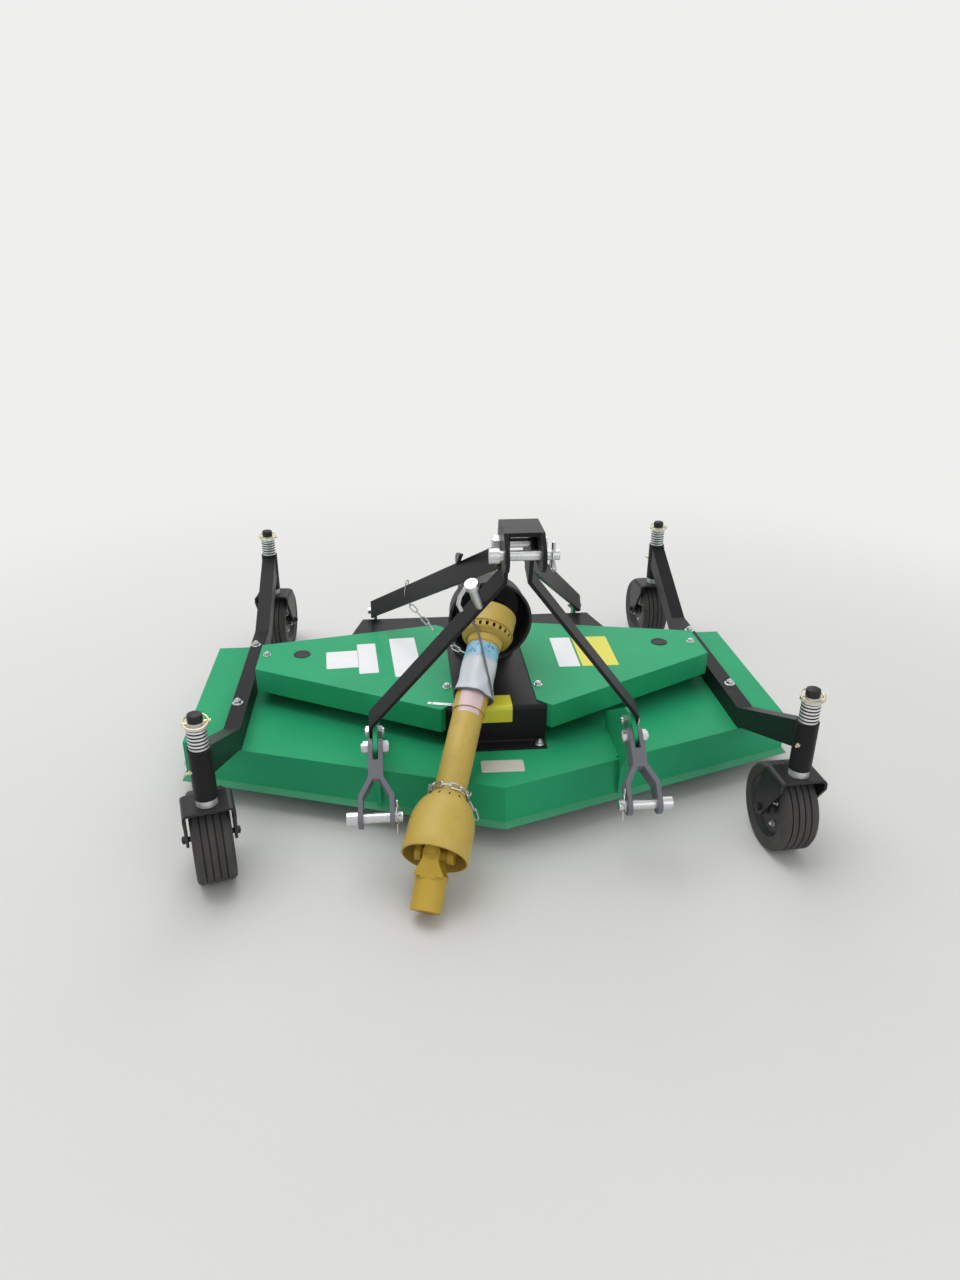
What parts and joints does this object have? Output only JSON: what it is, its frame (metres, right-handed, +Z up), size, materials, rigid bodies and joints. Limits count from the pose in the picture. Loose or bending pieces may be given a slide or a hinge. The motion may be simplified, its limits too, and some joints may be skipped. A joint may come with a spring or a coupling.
{
  "type": "rear-mounted finishing mower",
  "caption": "Three-point finishing mower with a belt drive under green covers, a guarded drive shaft and ribbed casters on black arms.",
  "frame": {"origin": "on the ground under the middle of the machine's box, drive shaft parked", "axes": "+Z up, -Y towards the tractor, +X to the right seen from the tractor"},
  "size_m": [1.55, 1.5083, 0.812],
  "materials": {
    "green_paint": "satin enamel",
    "black_paint": "satin enamel",
    "cast_housing": "grey primer over sand casting",
    "black_plastic": "moulded, matt",
    "belt_rubber": "matt",
    "zinc": "bright zinc plate",
    "grey_steel": "satin enamel",
    "raw_steel": "oiled, machined",
    "blade_steel": "ground edges on dark bar",
    "yellow_plastic": "moulded, satin",
    "yellow_paint": "satin enamel",
    "wheel_plastic": "moulded, satin",
    "tyre_rubber": "ribbed, matt"
  },
  "bodies": {
    "frame": {"deck": "green_paint", "cover_left": "green_paint", "cover_right": "green_paint", "drive_base": "black_paint", "gearbox": "cast_housing", "drive_shield": "black_plastic", "belt": "belt_rubber", "leg_left": "black_paint", "leg_right": "black_paint", "strut_left": "black_paint", "strut_right": "black_paint", "mast_bolts": "zinc", "arm_left": "black_paint", "arm_right": "black_paint"},
    "hitch_top": {"top_bracket": "black_paint", "top_pin": "zinc"},
    "hitch_left": {"clevis_left": "grey_steel", "link_pin_left": "zinc"},
    "hitch_right": {"clevis_right": "grey_steel", "link_pin_right": "zinc"},
    "caster_fl": {"fork_fl": "black_paint", "spacers_fl": "zinc"},
    "wheel_fl": {"rim_fl": "wheel_plastic", "tyre_fl": "tyre_rubber"},
    "caster_fr": {"fork_fr": "black_paint", "spacers_fr": "zinc"},
    "wheel_fr": {"rim_fr": "wheel_plastic", "tyre_fr": "tyre_rubber"},
    "caster_rl": {"fork_rl": "black_paint", "spacers_rl": "zinc"},
    "wheel_rl": {"rim_rl": "wheel_plastic", "tyre_rl": "tyre_rubber"},
    "caster_rr": {"fork_rr": "black_paint", "spacers_rr": "zinc"},
    "wheel_rr": {"rim_rr": "wheel_plastic", "tyre_rr": "tyre_rubber"},
    "blade_left": {"rotor_left": "blade_steel"},
    "blade_centre": {"rotor_centre": "blade_steel"},
    "blade_right": {"rotor_right": "blade_steel"},
    "upper_joint": {"cross_upper": "raw_steel"},
    "upper_half": {"yoke_upper": "raw_steel", "shaft_upper": "raw_steel", "bell_upper": "yellow_plastic", "cone_upper": "yellow_plastic", "guard_upper": "yellow_plastic"},
    "lower_half": {"yoke_lower": "raw_steel", "shaft_lower": "raw_steel", "bell_lower": "yellow_plastic", "cone_lower": "yellow_plastic", "guard_lower": "yellow_plastic"},
    "lower_joint": {"cross_lower": "raw_steel"},
    "tractor_end": {"end_yoke": "yellow_paint"}
  },
  "joints": [
    {"name": "top_pivot", "type": "hinge", "parent": "frame", "child": "hitch_top", "pos_m": [0, -0.6015, 0.772], "axis": [1, 0, 0], "range_deg": [-45, 60]},
    {"name": "clevis_left_pivot", "type": "hinge", "parent": "frame", "child": "hitch_left", "pos_m": [-0.287, -0.4835, 0.272], "axis": [1, 0, 0], "range_deg": [-72, 18]},
    {"name": "clevis_right_pivot", "type": "hinge", "parent": "frame", "child": "hitch_right", "pos_m": [0.287, -0.4835, 0.272], "axis": [1, 0, 0], "range_deg": [-72, 18]},
    {"name": "swivel_fl", "type": "hinge", "parent": "frame", "child": "caster_fl", "pos_m": [-0.635, -0.5815, 0.26], "axis": [0, 0, 1], "continuous": true},
    {"name": "spin_fl", "type": "hinge", "parent": "caster_fl", "child": "wheel_fl", "pos_m": [-0.64742, -0.53514, 0.1015], "axis": [0.9659, 0.2588, 0], "continuous": true},
    {"name": "swivel_fr", "type": "hinge", "parent": "frame", "child": "caster_fr", "pos_m": [0.635, -0.5815, 0.26], "axis": [0, 0, 1], "continuous": true},
    {"name": "spin_fr", "type": "hinge", "parent": "caster_fr", "child": "wheel_fr", "pos_m": [0.63249, -0.53357, 0.1015], "axis": [0.9986, 0.0523, 0], "continuous": true},
    {"name": "swivel_rl", "type": "hinge", "parent": "frame", "child": "caster_rl", "pos_m": [-0.635, 0.6015, 0.26], "axis": [0, 0, 1], "continuous": true},
    {"name": "spin_rl", "type": "hinge", "parent": "caster_rl", "child": "wheel_rl", "pos_m": [-0.62998, 0.64924, 0.1015], "axis": [0.9945, -0.1045, 0], "continuous": true},
    {"name": "swivel_rr", "type": "hinge", "parent": "frame", "child": "caster_rr", "pos_m": [0.635, 0.6015, 0.26], "axis": [0, 0, 1], "continuous": true},
    {"name": "spin_rr", "type": "hinge", "parent": "caster_rr", "child": "wheel_rr", "pos_m": [0.63165, 0.64938, 0.1015], "axis": [0.9976, 0.0698, 0], "continuous": true},
    {"name": "blade_centre_spin", "type": "hinge", "parent": "frame", "child": "blade_centre", "pos_m": [0, -0.2075, 0.12], "axis": [0, 0, 1], "continuous": true},
    {"name": "blade_left_spin", "type": "hinge", "parent": "frame", "child": "blade_left", "pos_m": [-0.489, 0.0285, 0.12], "axis": [0, 0, 1], "continuous": true},
    {"name": "blade_right_spin", "type": "hinge", "parent": "frame", "child": "blade_right", "pos_m": [0.489, 0.0285, 0.12], "axis": [0, 0, 1], "continuous": true},
    {"name": "shaft_swing", "type": "hinge", "parent": "frame", "child": "upper_joint", "pos_m": [0, -0.1255, 0.409], "axis": [0, 0, 1], "range_deg": [0, 36]},
    {"name": "shaft_lift", "type": "hinge", "parent": "upper_joint", "child": "upper_half", "pos_m": [0, -0.1255, 0.409], "axis": [0.9527, -0.304, 0], "range_deg": [-36, 0]},
    {"name": "shaft_slide", "type": "slide", "parent": "upper_half", "child": "lower_half", "axis": [-0.2662, -0.834, -0.4833], "range_m": [-0.03, 0.14]},
    {"name": "end_dip", "type": "hinge", "parent": "lower_half", "child": "lower_joint", "pos_m": [-0.16715, -0.64926, 0.1055], "axis": [0.9527, -0.304, 0], "range_deg": [-46, 18]},
    {"name": "end_turn", "type": "hinge", "parent": "lower_joint", "child": "tractor_end", "pos_m": [-0.16715, -0.64926, 0.1055], "axis": [-0.2098, -0.6573, 0.7239], "range_deg": [-32, 32]}
  ],
  "couplings": [
    {"joint": "blade_left_spin", "follows": "blade_centre_spin", "ratio": 1},
    {"joint": "blade_right_spin", "follows": "blade_centre_spin", "ratio": 1}
  ]
}
